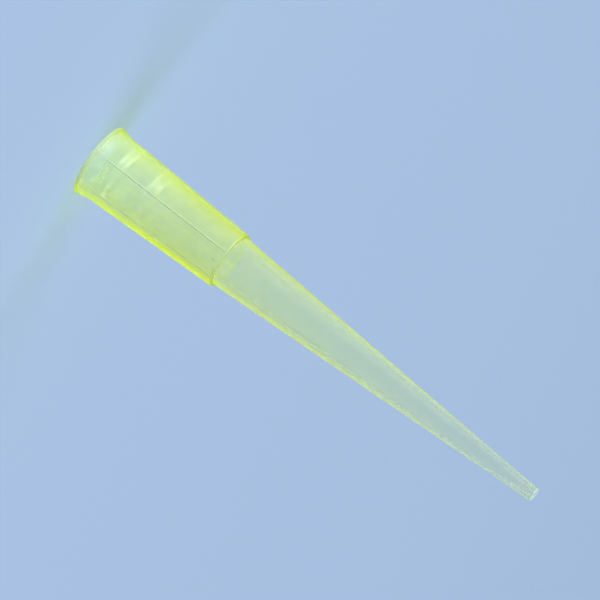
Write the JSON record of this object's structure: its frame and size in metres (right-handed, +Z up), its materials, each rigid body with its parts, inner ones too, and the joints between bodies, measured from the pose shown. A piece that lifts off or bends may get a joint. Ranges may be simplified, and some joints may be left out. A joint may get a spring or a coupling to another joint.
{
  "type": "pipette tip",
  "caption": "Slim conical tip with a ribbed collar, a rounded shoulder, a stepped nozzle socket and one long tapered bore down to a fine flat-cut orifice.",
  "frame": {"origin": "centre of the mouth rim, on the surface that the tip stands on", "axes": "+Z up the tip's axis, from the wide mouth to the orifice; +X through one of the six ribs"},
  "size_m": [0.0072, 0.0072, 0.051],
  "materials": {
    "yellow_polypropylene": "translucent yellow polypropylene, smooth moulded surface with a faint haze"
  },
  "bodies": {
    "root": {"pipette_tip": "yellow_polypropylene"}
  },
  "joints": []
}
